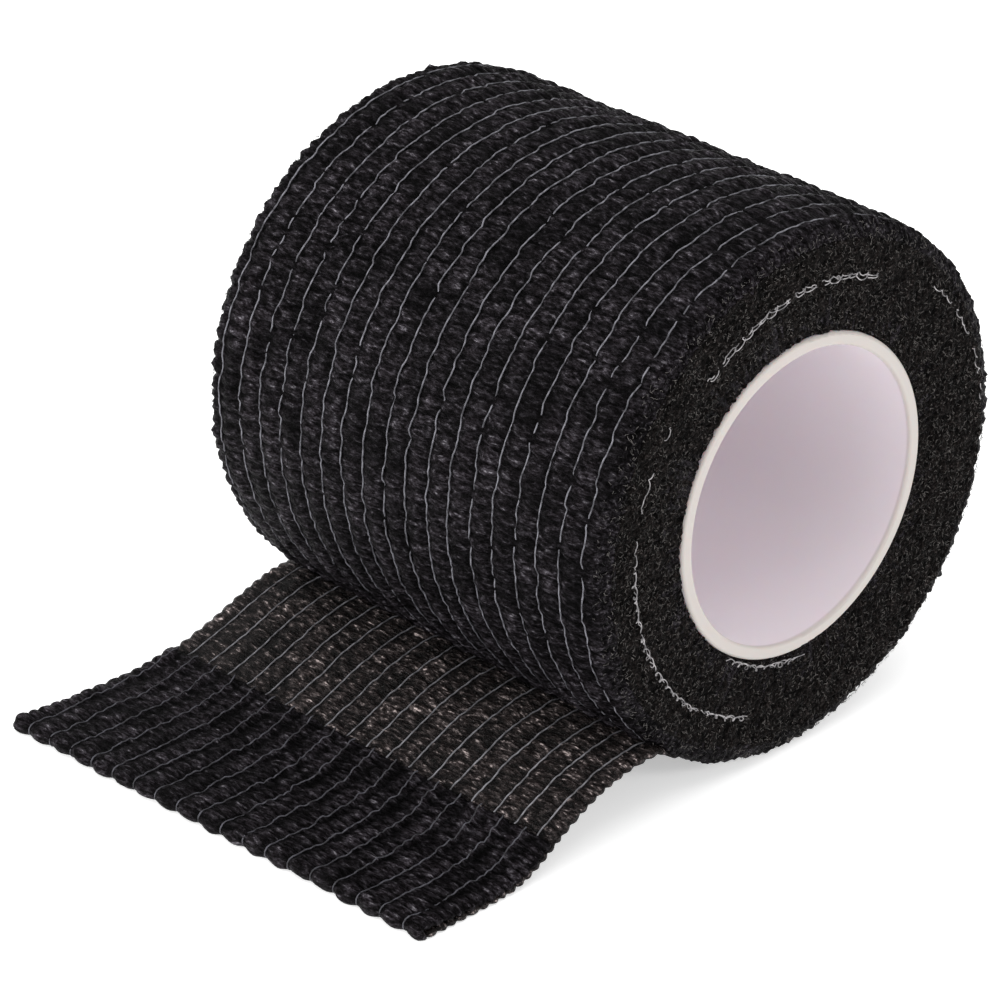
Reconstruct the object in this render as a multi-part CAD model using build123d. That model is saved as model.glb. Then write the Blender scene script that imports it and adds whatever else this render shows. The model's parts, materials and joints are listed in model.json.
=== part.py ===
from build123d import *

import os
from math import cos, degrees, radians, sin

# Roll of cohesive crepe grip tape on a core tube, with its free end drawn out as a tail.
# Millimetres. The origin is the middle of the core's axis. +Y runs along the axis, +Z is up,
# and the tail leaves the roll towards -X and comes down to the surface that the roll lies on.

# Driving dimensions
TAPE_WIDTH = 50.0
ROLL_DIAMETER = 50.0
CORE_DIAMETER = 30.0
CORE_WALL = 1.25
THREAD_COUNT = 18
THREAD_DIAMETER = 0.30
THREAD_MARGIN = 2.05
WEB_THICKNESS = 0.50

# Wound tape: thin where later turns press on it, thicker in the outermost turn
TURN_PITCH = 0.40
TURN_THICKNESS = 0.34
OUTER_TURN_THICKNESS = 0.70
ROLL_EDGE_RADIUS = 0.50
CORE_EDGE_RADIUS = 0.30
CORE_PLAY = 0.05

# Clearances between pieces that move, and round a thread in its groove
ROLL_CLEARANCE = 0.25
HINGE_CLEARANCE = 0.30
LAYER_GAP = 0.45
THREAD_PLAY = 0.02

# Route of the drawn-out tape at the middle of its thickness, from the fold towards the roll:
# flat on the surface, up a slope, then over a hump
FOLD_X = -46.0
FLAT_RUN = 9.0
FOOT_RADIUS = 18.0
SLOPE_DEGREES = 22.0
SLOPE_RUN = 7.0
HUMP_RADIUS = 22.0
HUMP_DEGREES = 18.0
TAIL_HUMP_DEGREES = 3.4
ROOT_RUN = 3.0

# The folded-back tab follows the same route one layer up, and ends just up the slope
TAB_SLOPE_RUN = 0.8

# Worked out
ROLL_RADIUS = ROLL_DIAMETER / 2
CORE_RADIUS = CORE_DIAMETER / 2
WINDING_RADIUS = CORE_RADIUS + CORE_PLAY
TURN_COUNT = int((ROLL_RADIUS - OUTER_TURN_THICKNESS - WINDING_RADIUS) / TURN_PITCH)
THREAD_RADIUS = THREAD_DIAMETER / 2
THREAD_DEPTH = THREAD_RADIUS + THREAD_PLAY
GROOVE_SIZE = THREAD_DIAMETER + 2 * THREAD_PLAY
HALF_WEB = WEB_THICKNESS / 2
TAIL_Z = HALF_WEB - ROLL_RADIUS
FOLD_RADIUS = (WEB_THICKNESS + LAYER_GAP) / 2
TAIL_SETBACK = FOLD_RADIUS + HALF_WEB + LAYER_GAP
HINGE_CLEARANCE_DEGREES = degrees(HINGE_CLEARANCE / HUMP_RADIUS)


def thread_places():
    """Where each thread runs across the width: evenly spaced between the two margins."""
    first = THREAD_MARGIN - TAPE_WIDTH / 2
    spacing = (TAPE_WIDTH - 2 * THREAD_MARGIN) / (THREAD_COUNT - 1)
    return [first + number * spacing for number in range(THREAD_COUNT)]


def follow(route, offset=0.0):
    """The edges of a route kept at an offset to its left, and where the route itself ends.

    A route is an (x, z) start, a heading in degrees from +X towards +Z, and tangent moves:
    (length, 0) is a straight run, and (radius, turn) is an arc that turns left if positive.
    """
    (x, z), heading, moves = route
    edges = []
    for size, turn in moves:
        left_x, left_z = -sin(radians(heading)), cos(radians(heading))
        if turn == 0:
            begin = (x + offset * left_x, z + offset * left_z)
            x += size * left_z
            z -= size * left_x
            edges.append(Line(begin, (x + offset * left_x, z + offset * left_z)))
        else:
            side = 1 if turn > 0 else -1
            centre_x, centre_z = x + side * size * left_x, z + side * size * left_z
            from_angle = heading - side * 90
            reach = size - side * offset
            edges.append(CenterArc((centre_x, centre_z), reach, from_angle, turn))
            heading += turn
            x = centre_x + side * size * sin(radians(heading))
            z = centre_z - side * size * cos(radians(heading))
    return edges, ((x, z), heading)


def band(route, low, high):
    """The section between two offsets of one route, a face in the XZ plane."""
    lower, _ = follow(route, low)
    upper, _ = follow(route, high)
    near_cap = Line(lower[0] @ 0, upper[0] @ 0)
    far_cap = Line(lower[-1] @ 1, upper[-1] @ 1)
    return Plane.XZ * make_face(lower + upper + [near_cap, far_cap])


def across(face, width, place=0.0):
    """A face in the XZ plane, drawn out along Y to a width about a place across the tape."""
    return Pos(0, place, 0) * extrude(face, amount=width / 2, both=True)


def make_strip(route):
    """A strip of web along a route, with a groove for each thread in its left face."""
    web = across(band(route, -HALF_WEB, HALF_WEB), TAPE_WIDTH)
    groove = band(route, HALF_WEB - GROOVE_SIZE, HALF_WEB + THREAD_RADIUS)
    return web - [across(groove, GROOVE_SIZE, place) for place in thread_places()]


def make_strip_threads(route):
    """A round thread in each groove of a strip."""
    edges, _ = follow(route, HALF_WEB - THREAD_DEPTH)
    line = Plane.XZ * Wire(edges)
    section = Plane(origin=line @ 0, z_dir=line % 0) * Circle(THREAD_RADIUS)
    thread = sweep(section, path=line)
    return [Pos(0, place, 0) * thread for place in thread_places()]


def make_core():
    tube = Cylinder(CORE_RADIUS, TAPE_WIDTH) - Cylinder(CORE_RADIUS - CORE_WALL, TAPE_WIDTH)
    rims = tube.edges().filter_by(GeomType.CIRCLE)
    return Rot(90, 0, 0) * fillet(rims, CORE_EDGE_RADIUS)


def spiral(radius, half_turns):
    """Half circles from (radius, 0), over the top first, that grow by one pitch a turn."""
    arcs = []
    for step in range(half_turns):
        shift = TURN_PITCH / 2 * (step % 2)
        reach = radius + TURN_PITCH / 2 * step
        arcs.append(CenterArc((shift, 0), reach, 180 * (step % 2), 180))
    return arcs


def make_wound_tape():
    """One strip wound from the core out, whose last turn is the grooved outer turn."""
    inner_side = spiral(WINDING_RADIUS, 2 * TURN_COUNT)
    outer_side = spiral(WINDING_RADIUS + TURN_THICKNESS, 2 * (TURN_COUNT - 1))
    strip_start = Line(inner_side[0] @ 0, outer_side[0] @ 0)
    gap_end = Line(inner_side[-1] @ 1, outer_side[-1] @ 1)
    hollow = make_face(inner_side + outer_side + [strip_start, gap_end])
    roll = Cylinder(ROLL_RADIUS, TAPE_WIDTH)
    roll = fillet(roll.edges().filter_by(GeomType.CIRCLE), ROLL_EDGE_RADIUS)
    roll -= extrude(hollow, amount=TAPE_WIDTH, both=True)
    groove = Cylinder(ROLL_RADIUS + 1, GROOVE_SIZE) - Cylinder(ROLL_RADIUS - GROOVE_SIZE, GROOVE_SIZE)
    roll -= [Pos(0, 0, place) * groove for place in thread_places()]
    return Rot(90, 0, 0) * roll


def make_roll_threads():
    """A closed ring of thread in each groove of the outer turn."""
    ring = Rot(90, 0, 0) * Torus(ROLL_RADIUS - THREAD_DEPTH, THREAD_RADIUS)
    return [Pos(0, place, 0) * ring for place in thread_places()]


def tail_route():
    """From beside the fold to the hinge near the top of the hump."""
    start = (FOLD_X + TAIL_SETBACK, TAIL_Z)
    return (
        start,
        0,
        [
            (FLAT_RUN - TAIL_SETBACK, 0),
            (FOOT_RADIUS, SLOPE_DEGREES),
            (SLOPE_RUN, 0),
            (HUMP_RADIUS, HINGE_CLEARANCE_DEGREES - TAIL_HUMP_DEGREES),
        ],
    )


def root_route():
    """From the far side of the hinge gap to just inside the roll's surface."""
    _, (tail_end, heading) = follow(tail_route())
    _, (start, heading) = follow((tail_end, heading, [(HUMP_RADIUS, -2 * HINGE_CLEARANCE_DEGREES)]))
    turn = HUMP_DEGREES - TAIL_HUMP_DEGREES - HINGE_CLEARANCE_DEGREES
    return start, heading, [(HUMP_RADIUS, -turn), (ROOT_RUN, 0)]


def tab_route():
    """Round the fold from below, then back over the tail, one layer up."""
    foot_radius = FOOT_RADIUS - WEB_THICKNESS - LAYER_GAP
    return (
        (FOLD_X, TAIL_Z),
        180,
        [
            (FOLD_RADIUS, -180),
            (FLAT_RUN, 0),
            (foot_radius, SLOPE_DEGREES),
            (TAB_SLOPE_RUN, 0),
        ],
    )


def make_parts():
    """Every piece by name."""
    clear_of_roll = Rot(90, 0, 0) * Cylinder(ROLL_RADIUS + ROLL_CLEARANCE, TAPE_WIDTH + 1)
    root_threads = [thread - clear_of_roll for thread in make_strip_threads(root_route())]
    parts = {
        "core_tube": make_core(),
        "wound_tape": make_wound_tape(),
        "tail_root": make_strip(root_route()) - clear_of_roll,
        "tail_root_threads": Compound(children=root_threads),
        "tail_web": make_strip(tail_route()),
        "tab_web": make_strip(tab_route()),
    }
    for family, threads in (
        ("roll_thread", make_roll_threads()),
        ("tail_thread", make_strip_threads(tail_route())),
        ("tab_thread", make_strip_threads(tab_route())),
    ):
        for number, thread in enumerate(threads, start=1):
            parts[f"{family}_{number:02d}"] = thread
    return parts


if __name__ == "__main__":
    os.makedirs("parts", exist_ok=True)
    for name, shape in make_parts().items():
        export_step(shape, f"parts/{name}.step")
    _, (hinge_side, heading) = follow(tail_route())
    _, (hinge, _) = follow((hinge_side, heading, [(HUMP_RADIUS, -HINGE_CLEARANCE_DEGREES)]))
    print("tail hinge at", [round(value, 3) for value in hinge])
    print("tab hinge at", [FOLD_X, round(TAIL_Z + FOLD_RADIUS, 3)])
    print("turns wound under the outer turn:", TURN_COUNT)
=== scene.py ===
# %% [markdown]
# # A roll of crepe grip tape with its end folded back
#
# The real object is one long strip of black crepe, wound on a pale plastic core. Thin elastic
# threads run along the strip and gather it into small ridges. The end is pulled off the roll and
# folded back on itself, so that a finger finds it. The imported frame says how large everything is
# and what moves, so the first cell loads it.

# %% Load the frame
import json
from math import asin, atan2, ceil, cos, exp, floor, hypot, pi, radians, sin, tau
from random import Random

import bmesh
import bpy
from mathutils import Matrix, Vector, noise


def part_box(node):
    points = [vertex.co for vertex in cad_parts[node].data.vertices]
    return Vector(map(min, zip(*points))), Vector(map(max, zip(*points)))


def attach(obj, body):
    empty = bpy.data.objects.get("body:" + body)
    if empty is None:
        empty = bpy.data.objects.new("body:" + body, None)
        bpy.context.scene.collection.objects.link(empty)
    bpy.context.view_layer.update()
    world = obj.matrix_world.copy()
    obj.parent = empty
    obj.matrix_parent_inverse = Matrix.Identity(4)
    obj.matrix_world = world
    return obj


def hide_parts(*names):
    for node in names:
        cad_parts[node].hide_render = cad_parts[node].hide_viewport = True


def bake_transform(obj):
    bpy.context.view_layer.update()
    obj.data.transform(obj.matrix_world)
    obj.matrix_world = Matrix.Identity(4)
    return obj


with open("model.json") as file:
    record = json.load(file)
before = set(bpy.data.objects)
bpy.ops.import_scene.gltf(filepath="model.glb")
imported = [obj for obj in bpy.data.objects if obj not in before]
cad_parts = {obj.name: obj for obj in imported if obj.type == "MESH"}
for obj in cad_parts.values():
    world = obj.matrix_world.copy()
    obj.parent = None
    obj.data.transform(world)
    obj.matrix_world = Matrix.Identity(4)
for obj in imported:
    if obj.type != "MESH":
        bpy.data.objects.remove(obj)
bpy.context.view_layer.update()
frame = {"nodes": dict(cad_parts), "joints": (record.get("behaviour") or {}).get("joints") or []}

# %% [markdown]
# ## Sizes that come from the frame
#
# Blender works in metres, and small things are easier to read in millimetres, so every size here
# is a number times MM. The roll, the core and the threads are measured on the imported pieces, and
# nothing is placed by eye. Each thread's place across the tape is the middle of its own ring.

# %% Measure the frame
MM = 0.001
ROLL_LOW, ROLL_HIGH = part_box("wound_tape")
TAPE_WIDTH = ROLL_HIGH.y - ROLL_LOW.y
HALF_WIDTH = TAPE_WIDTH / 2
ROLL_RADIUS = ROLL_HIGH.x
CORE_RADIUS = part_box("core_tube")[1].x
FLOOR_Z = ROLL_LOW.z
THREAD_COUNT = len([name for name in frame["nodes"] if name.startswith("roll_thread_")])
THREAD_NUMBERS = range(1, THREAD_COUNT + 1)


def thread_place(number):
    """How far along Y one thread's ring lies on the roll."""
    low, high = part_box(f"roll_thread_{number:02d}")
    return (low.y + high.y) / 2


THREAD_PLACES = [thread_place(number) for number in THREAD_NUMBERS]
LANE = (THREAD_PLACES[-1] - THREAD_PLACES[0]) / (THREAD_COUNT - 1)
JOINTS = {joint["name"]: joint for joint in frame["joints"]}
print(f"roll {2 * ROLL_RADIUS / MM:.1f} mm, tape {TAPE_WIDTH / MM:.1f} mm, lane {LANE / MM:.2f} mm")

# %% [markdown]
# ## Small helpers
#
# Three things are needed all the time: an easy step from 0 to 1, a mix of two values, and a way to
# turn a bmesh into an object in the scene. Every piece stays at the origin with its place in its
# mesh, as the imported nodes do, so that a pattern in object coordinates never slides. If a piece
# has several materials, a number on each face says which one it shows.


# %% Define the helpers
def smooth(low, high, value):
    """0 up to low, 1 from high on, and an easy rise between them."""
    share = min(max((value - low) / (high - low), 0.0), 1.0)
    return share * share * (3 - 2 * share)


def mix(first, second, share):
    """A value part of the way from the first to the second."""
    return first + (second - first) * share


def add_piece(name, mesh, *materials):
    """An object at the origin that shows a mesh with its materials, smoothly shaded."""
    mesh.name = name
    for material in materials:
        mesh.materials.append(material)
    mesh.shade_smooth()
    piece = bpy.data.objects.new(name, mesh)
    bpy.context.scene.collection.objects.link(piece)
    return piece


def to_mesh(bm, name):
    """The bmesh as a mesh with its faces turned outwards."""
    bmesh.ops.recalc_face_normals(bm, faces=bm.faces)
    mesh = bpy.data.meshes.new(name)
    bm.to_mesh(mesh)
    bm.free()
    return mesh


# %% [markdown]
# ## Materials as small node trees
#
# A material is a tree of nodes that ends in one shader. These trees are alike, so one helper sets a
# node's inputs and another makes noise in object coordinates. A scale of a few thousand looks
# large, but it is in cells per metre, and the crepe's wrinkles are a fraction of a millimetre. A
# stretched noise has a different scale along each axis.


# %% Define the material helpers
def new_tree(name):
    """A material, its node tree and its shader."""
    material = bpy.data.materials.new(name)
    material.use_nodes = True
    return material, material.node_tree, material.node_tree.nodes["Principled BSDF"]


def set_inputs(tree, node, **inputs):
    """Sets or links some of a node's inputs, with _ for each space in their names."""
    for name, value in inputs.items():
        socket = node.inputs[name.replace("_", " ")]
        if isinstance(value, bpy.types.NodeSocket):
            tree.links.new(value, socket)
        else:
            socket.default_value = value
    return node


def add_node(tree, kind, **inputs):
    """A new node of a kind, with some of its inputs set or linked."""
    return set_inputs(tree, tree.nodes.new(kind), **inputs)


def object_noise(tree, scale, detail=2.0, roughness=0.5, stretch=(1, 1, 1)):
    """Noise from 0 to 1 in object coordinates, with its cells stretched along some axes."""
    place = tree.nodes.new("ShaderNodeTexCoord").outputs["Object"]
    squeeze = tuple(1 / share for share in stretch)
    mapped = add_node(tree, "ShaderNodeMapping", Vector=place, Scale=squeeze)
    cells = add_node(tree, "ShaderNodeTexNoise", Vector=mapped.outputs["Vector"])
    set_inputs(tree, cells, Scale=scale, Detail=detail, Roughness=roughness)
    return cells.outputs["Fac"]


def graded(tree, value, low, high, low_result, high_result):
    """A value taken from one range to another, and held at its ends."""
    node = add_node(tree, "ShaderNodeMapRange", Value=value, From_Min=low, From_Max=high)
    return set_inputs(tree, node, To_Min=low_result, To_Max=high_result).outputs["Result"]


def tinted(tree, value, colours):
    """A colour from a ramp, with (place, red, green, blue) for each of its stops."""
    ramp = add_node(tree, "ShaderNodeValToRGB", Fac=value)
    stops = ramp.color_ramp.elements
    while len(stops) < len(colours):
        stops.new(0.5)
    for stop, (place, *colour) in zip(stops, colours):
        stop.position = place
        stop.color = (*colour, 1)
    return ramp.outputs["Color"]


def add_bump(tree, shader, height, strength, distance):
    """Fine relief on a shader's normal, with its depth in metres, over any relief it has."""
    bump = add_node(tree, "ShaderNodeBump", Height=height, Strength=strength, Distance=distance)
    if shader.inputs["Normal"].is_linked:
        tree.links.new(shader.inputs["Normal"].links[0].from_socket, bump.inputs["Normal"])
    tree.links.new(bump.outputs["Normal"], shader.inputs["Normal"])


# %% [markdown]
# ## Black crepe
#
# The crepe is a thin nonwoven of black fibres that is coated with latex. It is almost black, with
# fine wrinkles that run across the tape and a faint shine on the crests. The wrinkles are noise
# stretched along Y, and a ramp of colours turns the highest of them into pale flecks, which are
# painted glints. A finer noise stands for single fibres, and a slow one makes some places darker
# than others. The mesh also tells the material how high each point stands, in an attribute called
# crest: the valleys get painted shade, and the crests get painted highlight. The latex side, which
# shows on the pulled-off tail, is the same cloth with more gloss and more painted glints, so one
# function makes both.

# %% Make the crepe
WRINKLE_CELLS, WRINKLE_WIDTH = 3100, 3.2
FIBRE_CELLS, FIBRE_WIDTH = 6500, 2.4
BLOTCH_CELLS = 260
BLOTCH_SHADES = (0.50, 1.5)
CREST_PAINTED_SHADE_AND_HIGHLIGHT = (0.15, 1.35)


def scaled_colour(tree, colour, amount):
    """A colour times an amount."""
    scale = add_node(tree, "ShaderNodeVectorMath")
    scale.operation = "SCALE"
    tree.links.new(colour, scale.inputs[0])
    tree.links.new(amount, scale.inputs["Scale"])
    return scale.outputs["Vector"]


def crest_height(tree):
    """The mesh's own note of how high each point stands, from 0 in a valley to 1 on a crest."""
    note = tree.nodes.new("ShaderNodeAttribute")
    note.attribute_name = "crest"
    return note.outputs["Fac"]


def make_crepe(name, colours, matte, shiny, specular, relief):
    """Crepe with a ramp of colours, two roughnesses and a depth of relief in metres."""
    material, tree, shader = new_tree(name)
    wrinkles = object_noise(tree, WRINKLE_CELLS, 3.0, 0.70, stretch=(1, WRINKLE_WIDTH, 1))
    fibres = object_noise(tree, FIBRE_CELLS, 2.0, 0.6, stretch=(1, FIBRE_WIDTH, 1))
    blotches = object_noise(tree, BLOTCH_CELLS, 1.0)
    crest = crest_height(tree)
    colour = tinted(tree, wrinkles, colours)
    colour = scaled_colour(tree, colour, graded(tree, blotches, 0.35, 0.65, *BLOTCH_SHADES))
    # Painted shade in the valleys and painted highlight on the crests, graded by the crest height.
    colour = scaled_colour(tree, colour, graded(tree, crest, 0.10, 0.80, *CREST_PAINTED_SHADE_AND_HIGHLIGHT))
    gloss = graded(tree, fibres, 0.45, 0.60, matte, shiny)
    set_inputs(tree, shader, Base_Color=colour, Roughness=gloss, Specular_IOR_Level=specular)
    add_bump(tree, shader, wrinkles, 1.0, relief)
    add_bump(tree, shader, fibres, 1.0, relief / 2)
    return material


# In each ramp the last, palest stop is a painted glint; the other stops are the crepe's own
# near-black colour.
OUTER_COLOURS_AND_PAINTED_GLINT = [
    (0.38, 0.0006, 0.0004, 0.0005),
    (0.50, 0.0066, 0.0054, 0.0064),
    (0.62, 0.027, 0.024, 0.028),
    (0.76, 0.160, 0.150, 0.165),
]
LATEX_COLOURS_AND_PAINTED_GLINT = [
    (0.38, 0.0012, 0.0007, 0.0006),
    (0.50, 0.0090, 0.0064, 0.0060),
    (0.61, 0.055, 0.045, 0.044),
    (0.71, 0.480, 0.400, 0.385),
]
OUTER_CREPE = make_crepe("outer_crepe", OUTER_COLOURS_AND_PAINTED_GLINT, 0.60, 0.28, 0.03, 0.32 * MM)
LATEX_CREPE = make_crepe("latex_crepe", LATEX_COLOURS_AND_PAINTED_GLINT, 0.50, 0.18, 0.12, 0.36 * MM)
print("crepe:", OUTER_CREPE.name, "and", LATEX_CREPE.name)

# %% [markdown]
# ## Felted edges
#
# At the ends of the roll all the turns' cut edges lie side by side. Their fibres stand out and
# tangle, so the ends look like dark felt and a little browner than the crepe. This noise is not
# stretched, because the fibres point every way. A finer noise makes single specks glossy. The
# last, palest stop of the felt's ramp is a painted glint, and the felt's height paints shade into
# the hollows of the tangle and a painted highlight onto its tufts.

# %% Make the felt
FELT_CELLS = 4600
SPECK_CELLS = 2.4 * FELT_CELLS
# Painted shade and highlight by the felt's height, and a painted glint as the ramp's last, palest
# stop.
FELT_PAINTED_SHADE_AND_HIGHLIGHT = (0.2, 1.5)
FELT_COLOURS_AND_PAINTED_GLINT = [
    (0.40, 0.0006, 0.0004, 0.0003),
    (0.54, 0.0050, 0.0038, 0.0035),
    (0.64, 0.024, 0.020, 0.019),
    (0.76, 0.150, 0.135, 0.128),
]


def make_felt():
    material, tree, shader = new_tree("edge_felt")
    tangled = object_noise(tree, FELT_CELLS, 3.0, 0.7)
    specks = object_noise(tree, SPECK_CELLS, 1.0)
    # Painted shade in the hollows of the tangle and painted highlight on its tufts.
    painted_shade_and_highlight = graded(tree, crest_height(tree), 0.2, 0.8, *FELT_PAINTED_SHADE_AND_HIGHLIGHT)
    colour = scaled_colour(tree, tinted(tree, tangled, FELT_COLOURS_AND_PAINTED_GLINT), painted_shade_and_highlight)
    gloss = graded(tree, specks, 0.45, 0.60, 0.80, 0.35)
    set_inputs(tree, shader, Base_Color=colour, Roughness=gloss, Specular_IOR_Level=0.04)
    add_bump(tree, shader, tangled, 1.0, 0.30 * MM)
    return material


EDGE_FELT = make_felt()
print("felt:", EDGE_FELT.name)

# %% [markdown]
# ## Threads, stray fibres and plastic
#
# Each elastic thread is a thin rubber strand covered in grey yarn. Its covering makes it a little
# lighter and darker along its length. The crepe half covers the threads of the roll and still more
# those of the tab, so these are darker than the tail's, and the torn ones at the end are palest.
# Stray fibres are single hairs of the nonwoven, either dark or catching the light; the pale ones
# are the dark hairs with a painted glint as their colour. The core is smooth satin plastic that is
# slightly warmer at its cut rim, which is its own tint, and its rim is painted darker than the wall
# as painted shade against the stronger light there, so its colour follows the distance from the
# middle along Y.

# %% Make the thread, fibre and core materials
COVERING_CELLS = 1500
YARN_CELLS = 9000
CLOUD_CELLS = 90
SATIN_CELLS = 1400
RIM_FROM, RIM_TO = HALF_WIDTH - 0.5 * MM, HALF_WIDTH - 0.15 * MM
WALL_COLOURS = [(0.3, 0.76, 0.70, 0.735), (0.7, 0.78, 0.715, 0.755)]
# The rim's warmer tint is the plastic's own; its darker colour than the wall is painted shade
# against the stronger light on the rim.
RIM_COLOUR_AND_PAINTED_SHADE = (0.475, 0.44, 0.415, 1)


def make_thread(name, dark, pale):
    material, tree, shader = new_tree(name)
    covering = object_noise(tree, COVERING_CELLS, 2.0)
    colour = tinted(tree, covering, [(0.35, *dark), (0.65, *pale)])
    gloss = graded(tree, covering, 0.3, 0.7, 0.7, 0.5)
    set_inputs(tree, shader, Base_Color=colour, Roughness=gloss)
    add_bump(tree, shader, object_noise(tree, YARN_CELLS, 1.0), 0.6, 0.04 * MM)
    return material


def make_plastic():
    material, tree, shader = new_tree("core_plastic")
    place = tree.nodes.new("ShaderNodeTexCoord").outputs["Object"]
    along = add_node(tree, "ShaderNodeSeparateXYZ", Vector=place).outputs["Y"]
    reach = add_node(tree, "ShaderNodeMath", Value=along)
    reach.operation = "ABSOLUTE"
    rim = graded(tree, reach.outputs["Value"], RIM_FROM, RIM_TO, 0, 1)
    cloud = object_noise(tree, CLOUD_CELLS, 2.0)
    wall = tinted(tree, cloud, WALL_COLOURS)
    mixed = add_node(tree, "ShaderNodeMix")
    mixed.data_type = "RGBA"
    set_inputs(tree, mixed, Factor=rim, A=wall, B=RIM_COLOUR_AND_PAINTED_SHADE)
    gloss = graded(tree, cloud, 0.3, 0.7, 0.42, 0.52)
    set_inputs(tree, shader, Base_Color=mixed.outputs["Result"], Roughness=gloss)
    set_inputs(tree, shader, Subsurface_Weight=0.15, Subsurface_Scale=1.5 * MM)
    add_bump(tree, shader, object_noise(tree, SATIN_CELLS, 2.0), 0.25, 0.02 * MM)
    return material


ROLL_THREAD = make_thread("roll_thread_yarn", (0.032, 0.031, 0.037), (0.180, 0.176, 0.200))
TAIL_THREAD = make_thread("tail_thread_yarn", (0.075, 0.073, 0.080), (0.22, 0.215, 0.235))
TAB_THREAD = make_thread("tab_thread_yarn", (0.012, 0.011, 0.014), (0.062, 0.060, 0.074))
FRAYED_THREAD = make_thread("frayed_thread_yarn", (0.14, 0.135, 0.14), (0.46, 0.44, 0.45))
DARK_FIBRE = make_thread("dark_fibre", (0.004, 0.0035, 0.0035), (0.014, 0.012, 0.011))
# The pale fibre's light colour is a painted glint on the same dark hairs.
GLINT_PAINTED_FIBRE = make_thread("glint_painted_fibre", (0.030, 0.027, 0.025), (0.15, 0.137, 0.128))
CORE_PLASTIC = make_plastic()

core = frame["nodes"]["core_tube"]
core.data.materials.clear()
core.data.materials.append(CORE_PLASTIC)
print("materials:", len(bpy.data.materials))

# %% [markdown]
# ## The pattern of the crepe
#
# Between two threads the crepe puffs up into a pillow, and the pull of the threads gathers it into
# ridges across the tape. That is the whole pattern, and it is the same on the roll, the tail and
# the tab, so it is one function: it says how high the crepe stands at a place. The ridges come
# from a sine whose valleys are sharp and whose crests are round. Each lane has its own slip, a
# slow noise makes the ridges drift, a quicker one makes them flutter, and a third makes them fade,
# because a perfectly even pattern looks printed. The felt of the cut edges is the sum of a fine
# noise and a coarse one.

# %% Define the crepe pattern
LANE_RISE = 0.16 * MM
RIDGE_RISE = 0.40 * MM
CREST_ROUNDNESS = 0.9
WRINKLE_RISE = 0.16 * MM
WRINKLE_SIZE = 0.40 * MM
WRINKLE_STRETCH = 0.28
DRIFT_SIZE = 4.5 * MM
DRIFT_RIDGES = 0.45
FLUTTER_SIZE = 1.3 * MM
FLUTTER_RIDGES = 0.22
FADE_SIZE = 2.6 * MM
FADE_MIDDLE, FADE_SWING = 0.85, 0.55
RIDGE_SLANT = 0.30
SLIP_BLEND = 0.15
THREAD_CALM = 0.25
FINE_TANGLE, FINE_TANGLE_SIZE = 0.24 * MM, 0.40 * MM
COARSE_TANGLE, COARSE_TANGLE_SIZE = 0.16 * MM, 1.1 * MM
TANGLE_RANGE = 0.5 * MM
dice = Random(5)
LANE_SLIPS = [dice.uniform(-0.25, 0.25) for lane in range(THREAD_COUNT + 3)]


def beside_thread(across):
    """The nearest thread's index, and how many lanes the place lies beside it."""
    lane = (across - THREAD_PLACES[0]) / LANE
    return round(lane), lane - round(lane)


def ridge_count(ridges, across, place):
    """The number of ridges up to a place, with the slips and drifts that make them uneven."""
    thread, beside = beside_thread(across)
    share = smooth(-SLIP_BLEND, SLIP_BLEND, beside)
    slip = mix(LANE_SLIPS[thread + 1], LANE_SLIPS[thread + 2], share)
    drift = DRIFT_RIDGES * noise.noise(place / DRIFT_SIZE)
    drift += FLUTTER_RIDGES * noise.noise(place / FLUTTER_SIZE)
    return ridges + slip + drift + RIDGE_SLANT * beside * (1 - 2 * abs(beside))


def pillow(across):
    """0 on a thread and 1 in the middle of a lane."""
    return 1 - (1 - 2 * abs(beside_thread(across)[1])) ** 2


def crepe(ridges, across, place):
    """How high the crepe stands: the pillow of the lane, and the ridge on top of it."""
    puff = pillow(across)
    crest = abs(sin(pi * ridge_count(ridges, across, place))) ** CREST_ROUNDNESS
    fade = FADE_MIDDLE + FADE_SWING * noise.noise(place / FADE_SIZE)
    long_place = Vector((place.x, place.y * WRINKLE_STRETCH, place.z)) / WRINKLE_SIZE
    wrinkle = WRINKLE_RISE * noise.noise(long_place)
    rise = RIDGE_RISE * crest * fade + wrinkle
    return LANE_RISE * puff + rise * mix(THREAD_CALM, 1, puff)


def crest_share(height):
    """The height of the crepe as a share of its highest crest."""
    return height / (LANE_RISE + RIDGE_RISE)


def tangle(place):
    """Uneven felt: how far its fibres stand out at a place."""
    fine = noise.noise(place / FINE_TANGLE_SIZE)
    coarse = noise.noise(place / COARSE_TANGLE_SIZE)
    return FINE_TANGLE * fine + COARSE_TANGLE * coarse


def tangle_share(height):
    """The height of the felt as a share, 0.5 at its middle."""
    return 0.5 + height / TANGLE_RANGE


print("lanes with their own slip:", len(LANE_SLIPS))

# %% [markdown]
# ## The outside of the roll
#
# The outside is a tube that turns over a soft shoulder at each end. It is a grid bent round the
# axis: one side of the grid runs once round the roll, and the other follows the outline across it.
# Every point is then pushed out by the crepe. On the shoulders felt covers the ridges, which run on
# beneath it and fade out towards the end. A slow swell keeps the roll from looking turned.

# %% Define the roll's outline
RIDGES_ROUND = 112
SHOULDER = 2.0 * MM
STRAIGHT = HALF_WIDTH - SHOULDER
SHOULDER_LENGTH = SHOULDER * pi / 2
FACE_OVERLAP = 0.6 * MM
FACE_TUCK = 0.35 * MM
SURFACE_SINK = 0.32 * MM
FELT_FROM, FELT_TO = STRAIGHT - 0.4 * MM, STRAIGHT + 1.2 * MM
RIDGES_FADE_FROM, RIDGES_FADE_TO = STRAIGHT + 1.4 * MM, STRAIGHT + SHOULDER_LENGTH
SHOULDER_RIDGES = 0.8
SWELL, SWELL_SIZE = 0.12 * MM, 9 * MM


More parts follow.
